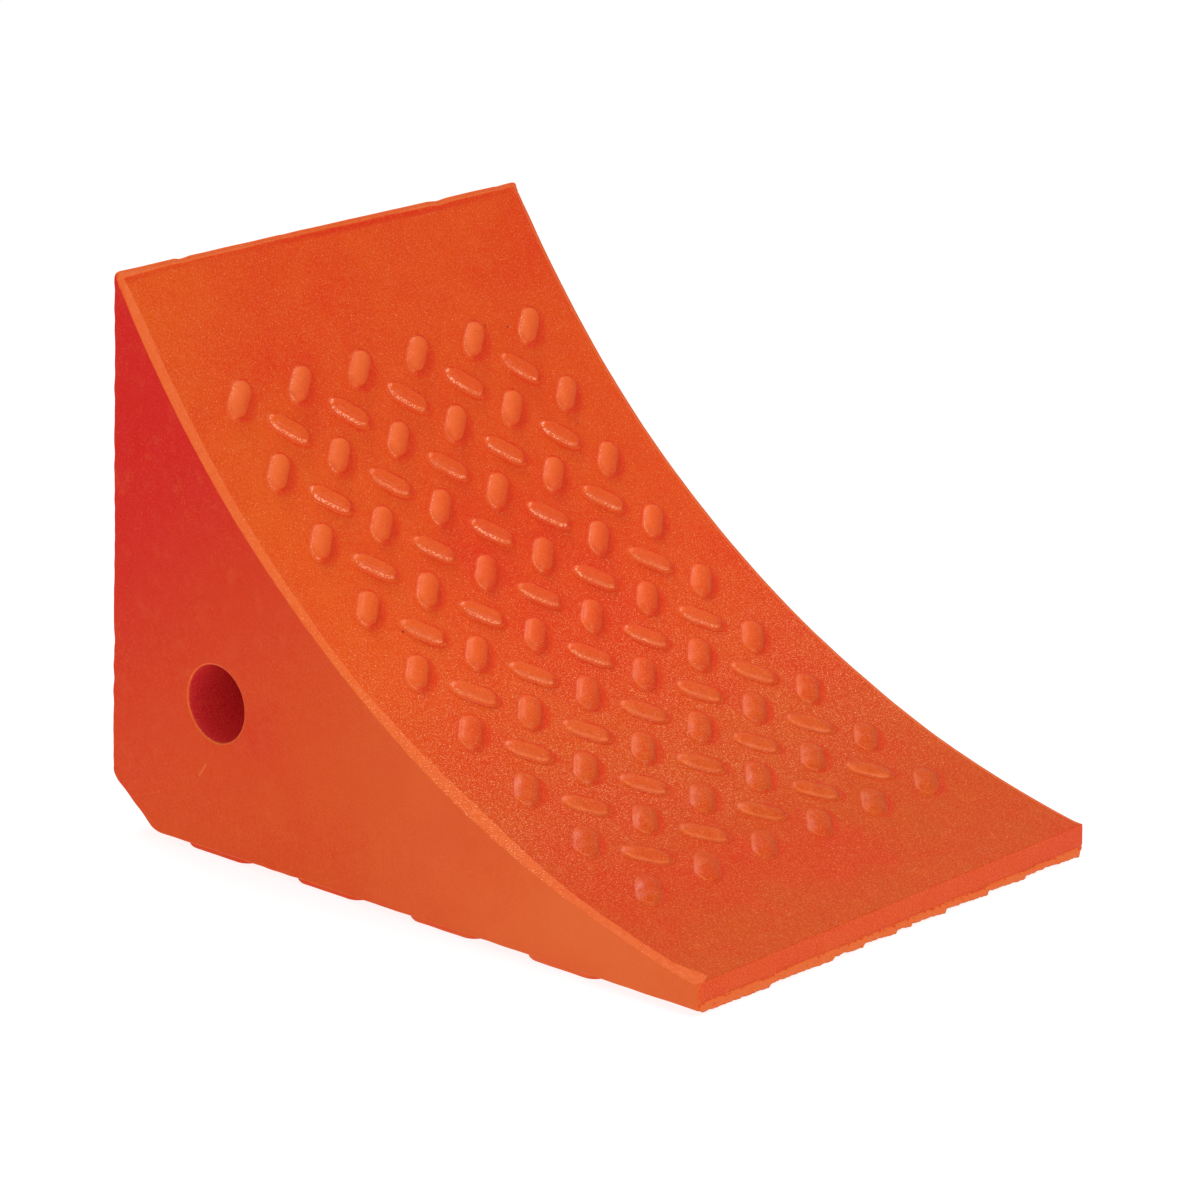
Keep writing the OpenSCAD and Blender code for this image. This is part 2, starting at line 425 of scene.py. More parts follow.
def body_mesh():
    """The wedge as one closed skin: rings of the outline across the width, and sides with the rope hole."""
    outline = side_outline()
    points = [entry[0] for entry in outline]
    normals = outward_normals(points)
    count = len(points)
    vertices, tones, faces = [], [], []

    # Edge directions turn slowly round the corners, so that deep bevels don't cross there
    directions = [n.normalized() for n in smoothed(normals, points, 5 * MM)]
    edges = {}
    for side in (-1, 1):
        raw = [Vector(edge_sizes(leg, fraction, p, side)) for p, leg, fraction in outline]
        edges[side] = smoothed(raw, points, 2.2 * MM)

    def add_vertex(i, y, depth, trimmed):
        p, leg, fraction = outline[i]
        relief = skin_relief(leg, fraction, p, y)
        q = p + normals[i] * relief - directions[i] * depth
        sink = top_dip(y) * smoothstep(TOP_Z - DIP_REACH, TOP_Z, q.y)
        vertices.append(Vector((q.x, y, q.y - sink)))
        if depth == 0:
            trimmed = max(trimmed, top_tone(leg, fraction, y), key=abs)
        tones.append(trimmed)

    rows = []
    for side in (-1, 1):
        profiles = [edge_profile(*edges[side][i], EDGE_STEPS) for i in range(count)]
        side_rows = []
        for k in range(len(profiles[0])):
            row = []
            for i in range(count):
                inset, depth = profiles[i][k]
                q = points[i] - directions[i] * depth
                y = side * (half_width(q.x, q.y, side) - inset)
                on_edge = 2 <= k < len(profiles[0]) - 1
                paleness = FACE_EDGE_PALENESS if outline[i][1] == "face" else OTHER_EDGE_PALENESS
                row.append(len(vertices))
                add_vertex(i, y, depth, paleness * on_edge)
            side_rows.append(row)
        rows.append(side_rows)
    near_rows, far_rows = rows
    middle = []
    for k in range(1, RINGS_BETWEEN):
        t = k / RINGS_BETWEEN
        row = []
        for i in range(count):
            y0, y1 = vertices[near_rows[0][i]].y, vertices[far_rows[0][i]].y
            row.append(len(vertices))
            add_vertex(i, y0 + (y1 - y0) * t, 0.0, 0.0)
        middle.append(row)
    across = near_rows[::-1] + middle + far_rows
    for row, following in zip(across, across[1:]):
        for i in range(count):
            j = (i + 1) % count
            faces.append((row[i], following[i], following[j], row[j]))

    tube_rings = []
    for side, ring in ((-1, near_rows[-1]), (1, far_rows[-1])):
        tube_rings.append(add_side(side, ring, vertices, tones, faces))
    add_tube(tube_rings, vertices, tones, faces)
    return vertices, faces, tones


def add_side(side, ring, vertices, tones, faces):
    """Fills one side between its outline and the rounded rim of the hole, and returns the rim's ring."""
    hole_ring = []
    for k in range(HOLE_STEPS):
        angle = 2 * math.pi * k / HOLE_STEPS
        x = HOLE_X + (HOLE_RADIUS + HOLE_RIM) * math.cos(angle)
        z = HOLE_Z + (HOLE_RADIUS + HOLE_RIM) * math.sin(angle)
        hole_ring.append(len(vertices))
        vertices.append(Vector((x, side * half_width(x, z, side), z)))
        tones.append(0.0)
    fixed = ring + hole_ring
    flat = [Vector((vertices[v].x, vertices[v].z)) for v in fixed]
    loops = [(i, (i + 1) % len(ring)) for i in range(len(ring))]
    loops += [(len(ring) + i, len(ring) + (i + 1) % HOLE_STEPS) for i in range(HOLE_STEPS)]
    outline = flat[:len(ring)]
    pitch = 4 * MM
    columns = int((TOE_X - BACK_X) / pitch)
    levels = int((TOP_Z - BASE_Z) / pitch)
    clear = 1.6 * MM
    for column in range(1, columns):
        for level in range(1, levels):
            shift = 0.5 * (level % 2)
            q = Vector((BACK_X + (column + shift) * pitch, BASE_Z + level * pitch))
            hole_gap = (q - Vector((HOLE_X, HOLE_Z))).length - HOLE_RADIUS - HOLE_RIM
            if hole_gap > clear and inside(q, outline, clear):
                flat.append(q)
    made, _, triangles, origins, _, _ = geometry.delaunay_2d_cdt(flat, loops, [], 1, 1e-9)
    index = []
    for q, origin in zip(made, origins):
        known = [o for o in origin if o < len(fixed)]
        if known:
            index.append(fixed[known[0]])
            continue
        index.append(len(vertices))
        vertices.append(Vector((q.x, side * half_width(q.x, q.y, side), q.y)))
        tones.append(0.0)
    rim = set(hole_ring)
    for triangle in triangles:
        face = tuple(index[v] for v in triangle)
        if not rim.issuperset(face):
            faces.append(face)
    return hole_ring


def inside(q, outline, clear):
    """True if a point of the side view is inside the outline and at least the given distance from it."""
    within = False
    for i, b in enumerate(outline):
        a = outline[i - 1]
        if (a.y > q.y) != (b.y > q.y) and q.x < a.x + (q.y - a.y) / (b.y - a.y) * (b.x - a.x):
            within = not within
        if abs(a.x - q.x) < 2 * clear and (a - q).length < clear:
            return False
    return within


def add_tube(rims, vertices, tones, faces):
    """The wall of the rope hole, with a rounded rim at each side."""
    rim_steps = 5
    tube_steps = 28
    rings = [rims[0]]

    def ring_at(radius, depth_of):
        ring = []
        for k in range(HOLE_STEPS):
            angle = 2 * math.pi * k / HOLE_STEPS
            x, z = math.cos(angle), math.sin(angle)
            y = depth_of(HOLE_X + radius * x, HOLE_Z + radius * z)
            waves = 0.10 * MM * ripple(14 * MM * x, y, 14 * MM * z, 11 * MM, 1.9)
            reach = radius + waves * smoothstep(0, 4 * MM, HALF_WIDTH - abs(y))
            ring.append(len(vertices))
            vertices.append(Vector((HOLE_X + reach * x, y, HOLE_Z + reach * z)))
            # The rounded rim is pale, and the wall inside the hole gets painted shade
            tones.append(0.8 if radius > HOLE_RADIUS + 0.1 * HOLE_RIM else -1.0)
        return ring

    def rim_ring(side, turn):
        radius = HOLE_RADIUS + HOLE_RIM * (1 - math.sin(turn))
        sunk = HOLE_RIM * (1 - math.cos(turn))
        return ring_at(radius, lambda x, z: side * (half_width(x, z, side) - sunk))

    turns = [math.pi / 2 * k / rim_steps for k in range(1, rim_steps + 1)]
    rings += [rim_ring(-1, turn) for turn in turns]
    near = vertices[rings[-1][0]].y
    far = HALF_WIDTH - 3 * MM
    for k in range(1, tube_steps):
        y = near + (far - near) * k / tube_steps
        rings.append(ring_at(HOLE_RADIUS, lambda x, z, y=y: y))
    rings += [rim_ring(1, turn) for turn in reversed(turns)]
    rings.append(rims[1])
    for ring, following in zip(rings, rings[1:]):
        for k in range(HOLE_STEPS):
            j = (k + 1) % HOLE_STEPS
            faces.append((ring[k], ring[j], following[j], following[k]))


def dome_piece(rings, place, vertices, faces, outline):
    """Adds one closed dome: rings of the outline from the rim inwards, each placed by a function."""
    start = len(vertices)
    steps = len(outline)
    for scale, level in rings:
        for u, v in outline:
            vertices.append(place(u * scale, v * scale, level))
    for r in range(len(rings) - 1):
        for k in range(steps):
            j = (k + 1) % steps
            a, b = start + r * steps, start + (r + 1) * steps
            faces.append((a + k, a + j, b + j, b + k))
    for ring, flip in ((0, True), (len(rings) - 1, False)):
        scale, level = rings[ring]
        centre = len(vertices)
        vertices.append(place(0, 0, level))
        for k in range(steps):
            j = (k + 1) % steps
            a, b = start + ring * steps + k, start + ring * steps + j
            faces.append((a, centre, b) if flip else (a, b, centre))


def stadium(half_length, half_breadth, end_length, end_steps, side_steps):
    """Points anticlockwise round a straight-sided shape with elliptical ends."""
    straight = half_length - end_length
    points = []
    for sign in (1, -1):
        for k in range(end_steps):
            angle = math.pi * (k / end_steps - 0.5)
            u, v = straight + end_length * math.cos(angle), half_breadth * math.sin(angle)
            points.append((sign * u, sign * v))
        for k in range(side_steps):
            points.append((sign * straight * (1 - 2 * k / side_steps), sign * half_breadth))
    return points


# A lug's soft foot reaches a little beyond its outline, and its body is a little smaller than the CAD lug
LUG_FOOT = 1.15
LUG_END = 4.8 * MM
LUG_HALF_LENGTH, LUG_HALF_WIDTH = LUG_LENGTH / 2 * 0.96, LUG_WIDTH / 2 * 0.95
LUG_OUTLINE = stadium(LUG_HALF_LENGTH, LUG_HALF_WIDTH, LUG_END, 14, 6)
LUG_RINGS = [1.15, 1.12, 1.09, 1.06, 1.03, 1.0, 0.97, 0.94, 0.9, 0.85, 0.79, 0.7, 0.58, 0.42, 0.22]


def lug_rise(r):
    """Height of a lug, as a part of the full height, at a fraction of the way out from its ridge."""
    join, power, fall = 0.93, 2.9, 0.56
    if r <= join:
        return (1 - r ** power) ** fall
    edge = (1 - join ** power) ** fall
    return edge * max(0.0, (LUG_FOOT - r) / (LUG_FOOT - join)) ** 2.2


def smeared_rise(r):
    """The same for a lug that was smeared as it left the mould: a low swelling with no clear foot."""
    return 0.95 * max(0.0, 1 - (r / LUG_FOOT) ** 2.2) ** 1.3


def rising_tone(u, v, r, top_pallor):
    """How pale a rising lug is at a place on it, and below 0 how red.

    A painted highlight runs as a pale line along the lit foot, and painted shade reddens the other.
    """
    # Painted shading: the top is paler towards its lit side and redder towards the other
    top = top_pallor - 0.04 + 0.36 * v / LUG_HALF_WIDTH
    foot = smoothstep(0.86, 0.97, r)
    lit = smoothstep(-0.1, 0.5, v / LUG_HALF_WIDTH - 0.5 * u / LUG_HALF_LENGTH)
    line = 0.95 * (1 - smoothstep(1.0, 1.05, r))
    return top * (1 - foot) + foot * (lit * line - 0.66 * (1 - lit))


def falling_tone(u, v, r, top_pallor):
    """The same for a falling lug, whose one foot and tip carry painted glints where the value nears or
    passes 1, whose other feet get painted shade, and whose top is painted a little darker towards one side.
    """
    top = top_pallor - 0.10 * v / LUG_HALF_WIDTH
    foot = smoothstep(0.7, 0.86, r)
    # The foot on this side and the tip carry painted glints; the other feet get painted shade
    worn = smoothstep(-0.1, -0.6, v / LUG_HALF_WIDTH)
    tip = smoothstep(-0.78, -0.95, u / LUG_HALF_LENGTH)
    glint_strength = 1.25 * (1 - smoothstep(0.94, 1.04, r))
    return top * (1 - foot) + foot * (max(worn, tip) * glint_strength - 0.64 * (1 - max(worn, tip)))


def lug_row(distance, columns, turn, wear, tone_at, top_pallor, slimness, smear):
    """A row of grip lugs with soft feet, each shaped on the cast face itself, pale on top, with painted
    light and shade in their tones.

    wear scales their height, rubbed is how pale their tops are, slimness scales their width,
    and smear turns crisp lugs into low uneven swellings.
    """
    vertices, faces, tones = [], [], []
    straight = LUG_HALF_LENGTH - LUG_END
    for k in range(columns):
        middle = (k - (columns - 1) / 2) * LUG_PITCH
        size = 1 + 0.03 * ripple(distance, middle, 0, 10 * MM, 5.1)
        height = LUG_HEIGHT * wear * (1 + 0.06 * ripple(distance, middle, 0, 12 * MM, 8.3))

        def place(u, v, level, middle=middle, size=size, height=height):
            along = max(abs(u) - straight, 0.0) / LUG_END
            r = math.hypot(along, v / LUG_HALF_WIDTH)
            inner = min(r, LUG_FOOT)
            blotch = ripple(u, v, middle, 4.5 * MM, distance)
            tones.append(tone_at(u, v, r, top_pallor) * (1 - 0.45 * smear) + 0.22 * smear * blotch)
            rise = height * ((1 - smear) * lug_rise(inner) + smear * smeared_rise(inner)) * level
            rise += 0.05 * MM * level * ripple(u, v, middle, 3.5 * MM, distance) * smoothstep(1.1, 0.6, r)
            rise += 0.42 * MM * smear * level * min(blotch, 0.4) * smoothstep(1.05, 0.5, r)
            sink = 0.03 * MM if level else 0.6 * MM
            s = distance + size * (u * math.cos(turn) - slimness * v * math.sin(turn))
            y = middle + size * (u * math.sin(turn) + slimness * v * math.cos(turn))
            return on_face(s, y, rise - sink)

        rings = [(LUG_RINGS[0], 0.0)] + [(scale, 1.0) for scale in LUG_RINGS]
        dome_piece(rings, place, vertices, faces, LUG_OUTLINE)
    return vertices, faces, tones


def pad_row(index):
    """A row of rounded tread pads under the base."""
    vertices, faces = [], []
    row_pitch = (2 * HALF_WIDTH - PAD_WIDTH - 2 * PAD_INSET) / (PAD_ROWS - 1)
    sideways = (index - (PAD_ROWS + 1) / 2) * row_pitch
    stagger = 0 if index % 2 else 0.5
    outline = [(-u, v) for u, v in stadium(PAD_LENGTH / 2, PAD_WIDTH / 2, PAD_CORNER, 14, 8)]
    # (scale of the outline, how far down) from the root in the base to the middle of the underside
    rings = [(0.97, 0.0), (1.0, 0.12), (0.995, 0.45), (0.975, 0.72), (0.94, 0.88), (0.88, 0.96),
             (0.76, 0.995), (0.5, 1.0), (0.2, 1.0)]
    root_z = BASE_Z + 0.8 * MM
    for k in range(PADS_IN_ROW):
        centre = BACK_X + PAD_START + (k + stagger) * PAD_PITCH

        def place(u, v, level, centre=centre):
            worn = 0.10 * MM * (1 + ripple(centre + u, sideways + v, 0, 9 * MM, 3.3))
            z = root_z + (worn - root_z) * level
            return Vector((centre + u, sideways + v, max(z, FLOOR_GAP)))

        dome_piece(rings, place, vertices, faces, outline)
    return vertices, faces, [0.0] * len(vertices)


# Where the rough strip under the toe steps back up, across the width
LIP_STEPS = [y * MM for y in (-99, -64, -33, -18, -1, 7, 25, 48, 68, 99)]


def lip_levels(y):
    """(height of the crease over the base, drop below the base) of the rough strip under the toe."""
    crease = toe_groove(y)
    drop = 1.0 * MM
    for low, high in zip(LIP_STEPS, LIP_STEPS[1:]):
        if low <= y <= high:
            t = (y - low) / (high - low)
            depth = 0.6 * MM + 0.35 * MM * (1 + ripple(low, high, 0, 20 * MM, 1.1))
            drop = 0.75 * MM + 1.25 * depth * t ** 1.6 * smoothstep(1.0, 0.95, t)
    drop += 0.16 * MM * ripple(0, y, 0, 3 * MM, 4.4) + 0.10 * MM * ripple(0, y, 0, 1.3 * MM, 4.9)
    return crease, min(max(drop, 0.3 * MM), BASE_Z - 0.05 * MM)


def lip_mesh():
    """The rough strip left under the toe: a ragged band that stands a little proud of the toe face."""
    vertices, faces = [], []
    stations = 420
    reach = HALF_WIDTH - PAD_INSET
    face_x = TOE_X - TOE_SETBACK
    proud = TOE_X - 0.12 * MM
    front_steps = 9
    for n in range(stations + 1):
        y = -reach + 2 * reach * n / stations
        crease, drop = lip_levels(y)
        end = smoothstep(reach, reach - 1.5 * MM, abs(y))
        top, bottom = BASE_Z + crease, BASE_Z - drop * end
        # From inside the toe over the ragged front, and back under the base
        ring = [Vector((face_x - 1.2 * MM, y, top + 0.1 * MM))]
        for k in range(front_steps + 1):
            t = k / front_steps
            bulge = -1.0 + 2.0 * smoothstep(0, 0.25, t) - 0.55 * smoothstep(0.75, 1.0, t) ** 2
            rough = 0.28 * MM * ripple(0, y, t * 3.5 * MM, 1.6 * MM, 6.1)
            rough += 0.20 * MM * ripple(0, y, t * 3.5 * MM, 0.7 * MM, 2.1) - 0.12 * MM
            x = face_x + (proud - face_x) * end * bulge + min(rough, 0.05 * MM) * smoothstep(0, 0.2, t)
            ring.append(Vector((min(x, TOE_X - 0.02 * MM), y, top + (bottom - top) * t)))
        heel = 0.25 * MM * (1 + 0.12 * ripple(y, 0, 0, 2 * MM, 3.6))
        ring.append(Vector((face_x - 1.5 * MM, y, bottom + heel)))
        ring.append(Vector((face_x - 4.5 * MM, y, BASE_Z - 0.35 * drop * end)))
        ring.append(Vector((face_x - 5.4 * MM, y, BASE_Z + 0.5 * MM)))
        vertices += [Vector((p.x, p.y, max(p.z, FLOOR_GAP))) for p in ring]
    steps = len(ring)
    for n in range(stations):
        a, b = n * steps, (n + 1) * steps
        for k in range(steps):
            j = (k + 1) % steps
            faces.append((a + k, a + j, b + j, b + k))
    faces.append(tuple(range(steps - 1, -1, -1)))
    last = stations * steps
    faces.append(tuple(last + k for k in range(steps)))
    return vertices, faces, [0.0] * len(vertices)


# --------------------------------------------------------------------------------------------------
# Materials
# --------------------------------------------------------------------------------------------------

class Nodes:
    """A short way to write a node tree."""

    def __init__(self, tree):
        self.tree = tree

    def add(self, kind, **settings):
        node = self.tree.nodes.new("ShaderNode" + kind)
        for key, value in settings.items():
            setattr(node, key, value)
        return node

    def put(self, node, socket, value):
        if hasattr(value, "is_output"):
            self.tree.links.new(value, node.inputs[socket])
        else:
            node.inputs[socket].default_value = value

    def split(self, vector):
        node = self.add("SeparateXYZ")
        self.put(node, 0, vector)
        return node.outputs

    def noise(self, vector, scale, detail=3.0, roughness=0.5):
        node = self.add("TexNoise")
        self.put(node, "Vector", vector)
        self.put(node, "Scale", scale)
        self.put(node, "Detail", detail)
        self.put(node, "Roughness", roughness)
        return node.outputs["Fac"]

    def ramp(self, value, low, high, to_low=0.0, to_high=1.0):
        node = self.add("MapRange", interpolation_type="SMOOTHSTEP")
        for socket, item in zip(("Value", "From Min", "From Max", "To Min", "To Max"),
                                (value, low, high, to_low, to_high)):
            self.put(node, socket, item)
        return node.outputs["Result"]

    def math(self, operation, a, b=0.0):
        node = self.add("Math", operation=operation)
        self.put(node, 0, a)
        self.put(node, 1, b)
        return node.outputs[0]

    def product(self, first, *others):
        for other in others:
            first = self.math("MULTIPLY", first, other)
        return first

    def mix(self, factor, a, b):
        node = self.add("Mix", data_type="RGBA")
        self.put(node, 0, factor)
        self.put(node, 6, a)
        self.put(node, 7, b)
        return node.outputs[2]

    def stretched(self, vector, turn, scale):
        """Coordinates turned, and then drawn out along each of the turned axes."""
        node = self.add("Mapping", vector_type="TEXTURE")
        self.put(node, "Vector", vector)
        self.put(node, "Rotation", turn)
        self.put(node, "Scale", scale)
        return node.outputs["Vector"]


# The pigment; its redder form, which also serves as painted shade; a painted shade inside the rope hole; a
# painted light towards the top of the face on the near side; and a painted shade towards the toe
ORANGE = (0.65, 0.067, 0.005, 1)
RED = (0.60, 0.004, 0.004, 1)
CRIMSON = (0.80, 0.032, 0.045, 1)
GOLD = (0.66, 0.105, 0.006, 1)
SHADED = (0.42, 0.062, 0.003, 1)
# Urethane pale from trimming and scuffs, which also serves as painted highlights on the lugs; painted
# sparkle specks; painted glints; and pits
PALE = (0.73, 0.135, 0.028, 1)
SPARKLE_PAINT = (0.94, 0.34, 0.15, 1)
GLINT_PAINT = (1.0, 0.42, 0.26, 1)
PIT = (0.16, 0.012, 0.008, 1)
# The middle of the reddest patch on the tyre face
FACE_HEART = on_face(0.47 * FACE_LENGTH, 12 * MM, 0)


class Spot:
    """What the layers of the urethane share: where a point is, how it faces, and its tone, which marks
    trim, painted highlights and glints, and below 0 painted shade.
    """

    def __init__(self, n):
        self.where = n.add("TexCoord").outputs["Object"]
        self.x, self.y, self.z = n.split(self.where)
        facing = n.split(n.add("NewGeometry").outputs["Normal"])
        self.sideways = n.ramp(n.math("ABSOLUTE", facing["Y"]), 0.6, 0.95)
        self.upward = n.ramp(facing["Z"], 0.2, 0.6)
        self.tone = n.add("Attribute", attribute_name="trimmed").outputs["Fac"]
        # Above 0 the tone marks trim and painted light, below 0 painted shade
        self.trimmed = n.ramp(self.tone, 0.0, 1.0)
        self.painted_shade = n.ramp(self.tone, 0.0, -1.0)


def pigment(n, spot, redness, mottle):
    """The colour: redder in clouds and a patch on the face, with fine flecks; painted shade makes it redder
    towards the top and back of the sides, low towards the toe, where the tone is below 0 and inside the
    rope hole; painted light makes the near side's upward faces golder towards the back.
    """
    # Painted shade: the sides are redder towards the top and back
    height_on_side = n.math("SUBTRACT", spot.z, n.product(spot.x, 0.75))
    painted_side_shade = n.product(spot.sideways, n.ramp(height_on_side, 0.05, 0.235, 0.0, 0.96))
    clouds = n.ramp(n.noise(spot.where, 16.0, 2.0, 0.45), 0.48, 0.75, 0.0, 0.30)
    drift = n.ramp(n.noise(spot.where, 55.0, 3.0, 0.6), 0.35, 0.75, 0.0, 0.20)
    heart = n.add("VectorMath", operation="DISTANCE")
    n.put(heart, 0, spot.where)
    n.put(heart, 1, FACE_HEART)
    heart_red = n.ramp(heart.outputs["Value"], 0.075, 0.02, 0.0, 0.30)
    red = n.math("MAXIMUM", painted_side_shade, n.math("ADD", n.math("ADD", clouds, drift), heart_red))
    # Painted shade: a tone below 0 reddens the colour
    red = n.math("MAXIMUM", n.math("ADD", red, redness), n.product(spot.painted_shade, 0.8))

    # Painted light: the upward faces of the near side are golder towards the back
    towards_back = n.ramp(spot.x, 0.06, -0.06)
    sunny = n.product(n.ramp(spot.y, 0.0, -0.09), n.product(towards_back, spot.upward))
    colour = n.mix(n.product(sunny, 0.42), ORANGE, GOLD)
    # Painted shade low on the upward faces, towards the toe
    colour = n.mix(n.product(spot.upward, n.ramp(spot.z, 0.085, 0.018, 0.0, 0.70)), colour, SHADED)
    colour = n.mix(red, colour, RED)
    # Painted shade inside the rope hole and where the painted shade is strongest
    colour = n.mix(n.ramp(spot.painted_shade, 0.75, 1.0), colour, CRIMSON)

    fleck = n.noise(spot.where, 1700.0, 2.0, 0.6)
    mottled = n.product(mottle, n.ramp(spot.sideways, 0.0, 1.0, 1.0, 0.45))
    mottled = n.product(mottled, n.ramp(spot.z, 0.10, 0.04, 1.0, 1.35))
    colour = n.mix(n.product(mottled, n.ramp(fleck, 0.51, 0.68, 0.0, 0.45)), colour, RED)
    return n.mix(n.product(mottled, n.ramp(fleck, 0.49, 0.32, 0.0, 0.42)), colour, PALE)


def pale_wear(n, spot, paleness):
    """How pale the surface is: trim on the edges, painted highlights and glints on the lugs, scuffs, and a
    haze on the sides towards the toe.
    """
    scuffed = n.ramp(n.noise(spot.where, 130.0, 4.0, 0.65), 0.5, 0.72, 0.0, 0.3)
    # Trim on the edges, and painted highlights and glints on the lugs, are pale
    edge = n.product(spot.trimmed, n.ramp(n.noise(spot.where, 420.0, 3.0, 0.6), 0.2, 0.7, 0.55, 0.95))
    pale = n.math("MAXIMUM", edge, n.math("ADD", n.product(scuffed, 0.4), paleness))
    haze = n.product(spot.sideways, n.ramp(spot.x, -0.06, 0.09, 0.0, 0.75))
    haze = n.product(haze, n.ramp(n.noise(spot.where, 32.0, 3.0, 0.5), 0.25, 0.7, 0.6, 1.1))
    return n.math("MAXIMUM", pale, haze)


def painted_sparkle_specks(n, spot, speckle):
    """Fine pale specks painted as sparkle glints, densest low on the tyre face."""
    low_face = n.product(n.ramp(spot.z, 0.11, 0.045, 0.62, 1.0), n.ramp(spot.z, 0.018, 0.038, 0.55, 1.0))
    open_air = n.ramp(spot.painted_shade, 0.6, 0.2)
    spread = n.product(n.product(low_face, spot.upward), n.product(open_air, speckle))
    specks = n.noise(n.stretched(spot.where, (0, 0, 0.73), (1.7, 0.85, 1.0)), 2500.0, 2.0, 0.6)
    level = n.math("SUBTRACT", 0.73, n.product(spread, 0.14))
    return n.product(n.ramp(n.math("SUBTRACT", specks, level), 0.0, 0.04), 0.8)


def painted_foot_glints(n, spot):
    """Painted glints on the feet and tips of the lugs, less towards the toe."""
    sparkle = n.ramp(n.noise(spot.where, 1700.0, 1.0, 0.5), 0.47, 0.60)
    glint_strength = n.product(n.ramp(spot.tone, 0.7, 1.15), sparkle)
    glint_strength = n.product(glint_strength, n.ramp(spot.z, 0.045, 0.10, 0.35, 1.0))
    return n.product(glint_strength, n.ramp(n.noise(spot.where, 70.0, 1.0, 0.5), 0.35, 0.6, 0.3, 1.0))


def short_scratch(n, spot):
    """One short scratch under the rope hole, on the near side."""
    away = n.add("VectorMath", operation="SUBTRACT")
    n.put(away, 0, spot.where)
    n.put(away, 1, (HOLE_X - 7 * MM, -HALF_WIDTH, HOLE_Z - 25 * MM))
    slanted = n.split(n.stretched(away.outputs[0], (0, 0.62, 0), (1.0, 1.0, 1.0)))
    across_it = n.ramp(n.math("ABSOLUTE", slanted["X"]), 0.5 * MM, 0.15 * MM)
    along_it = n.ramp(n.math("ABSOLUTE", slanted["Z"]), 3.6 * MM, 2.6 * MM)
    near_side = n.ramp(spot.y, -0.09, -0.095)
    return n.product(across_it, along_it, near_side)


def dark_pits(n, spot):
    """A few small pits, at the middles of some cells of a regular scatter."""
    pits = n.add("TexVoronoi", feature="F1")
    n.put(pits, "Vector", spot.where)
    n.put(pits, "Scale", 95.0)
    pit_here = n.ramp(pits.outputs["Distance"], 0.045, 0.028)
    chosen = n.ramp(n.noise(spot.where, 60.0, 1.0), 0.60, 0.64)
    return n.product(pit_here, chosen)


def urethane(name, redness=0.0, paleness=0.0, sheen_rough=0.36, speckle=1.0, grain=1.0, specular=0.12,
             mottle=1.0):
    """Cast polyurethane: pigment that drifts in tone, fine grain, painted sparkle specks, painted glints
    and painted light and shade on and round the lugs, scuffs and small pits.
    """
    material = bpy.data.materials.new(name)
    material.use_nodes = True
    tree = material.node_tree
    tree.nodes.clear()
    n = Nodes(tree)
    spot = Spot(n)
    sparkle_specks = painted_sparkle_specks(n, spot, speckle)
    pit = dark_pits(n, spot)

    colour = pigment(n, spot, redness, mottle)
    colour = n.mix(pale_wear(n, spot, paleness), colour, PALE)
    # Painted sparkle specks
    colour = n.mix(sparkle_specks, colour, SPARKLE_PAINT)
    # Painted glints on the feet and tips of the lugs
    colour = n.mix(painted_foot_glints(n, spot), colour, GLINT_PAINT)
    colour = n.mix(n.product(short_scratch(n, spot), 0.7), colour, PALE)
    colour = n.mix(n.product(pit, 0.8), colour, PIT)

    uneven = n.noise(spot.where, 240.0, 3.0, 0.55)
    rough = n.ramp(uneven, 0.3, 0.75, sheen_rough - 0.07, sheen_rough + 0.12)
    rough = n.math("ADD", rough, n.product(spot.trimmed, 0.22))
    rough = n.math("ADD", rough, n.product(spot.sideways, 0.12))
    relief = n.product(n.noise(spot.where, 1500.0, 3.0, 0.7), 0.05 * grain)
    relief = n.math("ADD", relief, n.product(uneven, 0.10))
    relief = n.math("ADD", relief, n.product(sparkle_specks, 0.05))
    relief = n.math("SUBTRACT", relief, n.product(pit, 0.3))
    bump = n.add("Bump")
    n.put(bump, "Strength", 1.0)
    n.put(bump, "Distance", 1.0 * MM)
    n.put(bump, "Height", relief)

    shader = n.add("BsdfPrincipled")
    n.put(shader, "Base Color", colour)
    n.put(shader, "Roughness", rough)
    n.put(shader, "Normal", bump.outputs["Normal"])
    n.put(shader, "Specular IOR Level", specular)
    n.put(n.add("OutputMaterial"), "Surface", shader.outputs[0])
    return material


def floor_material():
    """A plain pale studio floor."""
    material = bpy.data.materials.new("studio_floor")
    material.use_nodes = True
    n = Nodes(material.node_tree)
    shader = material.node_tree.nodes["Principled BSDF"]
    n.put(shader, "Base Color", (0.2, 0.2, 0.2, 1))
    n.put(shader, "Roughness", 0.9)
    n.put(shader, "Specular IOR Level", 0.1)
    n.put(shader, "Emission Color", (1, 1, 1, 1))
    n.put(shader, "Emission Strength", 0.86)
    return material


# --------------------------------------------------------------------------------------------------
# The chock
# --------------------------------------------------------------------------------------------------

# The rising lugs are turned one way on the face, and the falling ones the other
RISING_TURN, FALLING_TURN = math.radians(135), math.radians(45)
LUG_WEAR, WEAR_PER_ROW = 1.12, 0.045


